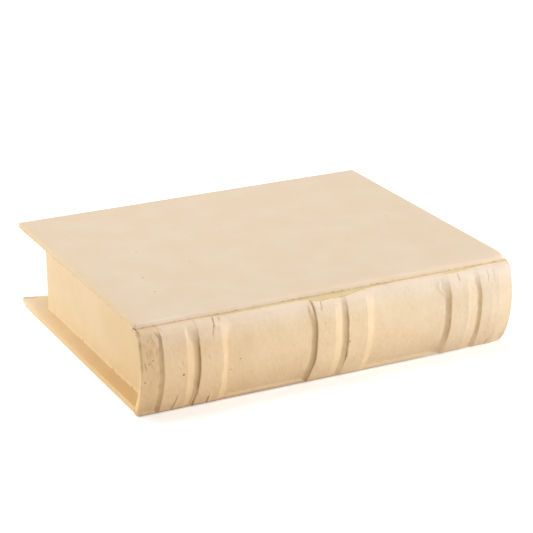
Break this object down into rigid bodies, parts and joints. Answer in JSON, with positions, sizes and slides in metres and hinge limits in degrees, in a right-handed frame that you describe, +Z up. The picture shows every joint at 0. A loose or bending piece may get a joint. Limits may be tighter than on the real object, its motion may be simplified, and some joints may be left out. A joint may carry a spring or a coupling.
{
  "type": "papier-mache book box",
  "caption": "Box in the shape of a closed book: a shallow tray between two covers, a rounded spine with raised bands, and a lid that turns on a paper hinge.",
  "frame": {"origin": "middle of the bounding box, on the underside that the box stands on", "axes": "+Z up, +X along the spine from its tail end to its head end, +Y from the spine towards the fore edge that opens"},
  "size_m": [0.26, 0.2164, 0.0602],
  "materials": {
    "board": "matte",
    "lid_paper": "matte",
    "spine_paper": "matte",
    "tray_paper": "matte",
    "base_paper": "matte",
    "hinge_paper": "matte",
    "lining_paper": "matte"
  },
  "bodies": {
    "box": {"base_board": "board", "base_cover_paper": "base_paper", "base_infill_paper": "lining_paper", "tray_tail_wall": "board", "tray_head_wall": "board", "tray_spine_side_wall": "board", "tray_fore_edge_wall": "board", "tray_floor_board": "board", "tray_wrap_paper": "tray_paper", "tray_wall_lining": "lining_paper", "tray_floor_lining": "lining_paper", "spine_board": "board", "raised_band_1": "board", "raised_band_2": "board", "raised_band_3": "board", "raised_band_4": "board", "raised_band_5": "board", "raised_band_6": "board", "spine_paper": "spine_paper", "hinge_strip_spine_leaf": "hinge_paper"},
    "lid": {"hinge_strip_lid_leaf": "hinge_paper", "lid_board": "board", "lid_cover_paper": "lid_paper", "lid_lining_paper": "lining_paper"}
  },
  "joints": [
    {"name": "lid_hinge", "type": "hinge", "parent": "box", "child": "lid", "pos_m": [0, -0.09855, 0.0564], "axis": [1, 0, 0], "range_deg": [0, 110]}
  ]
}
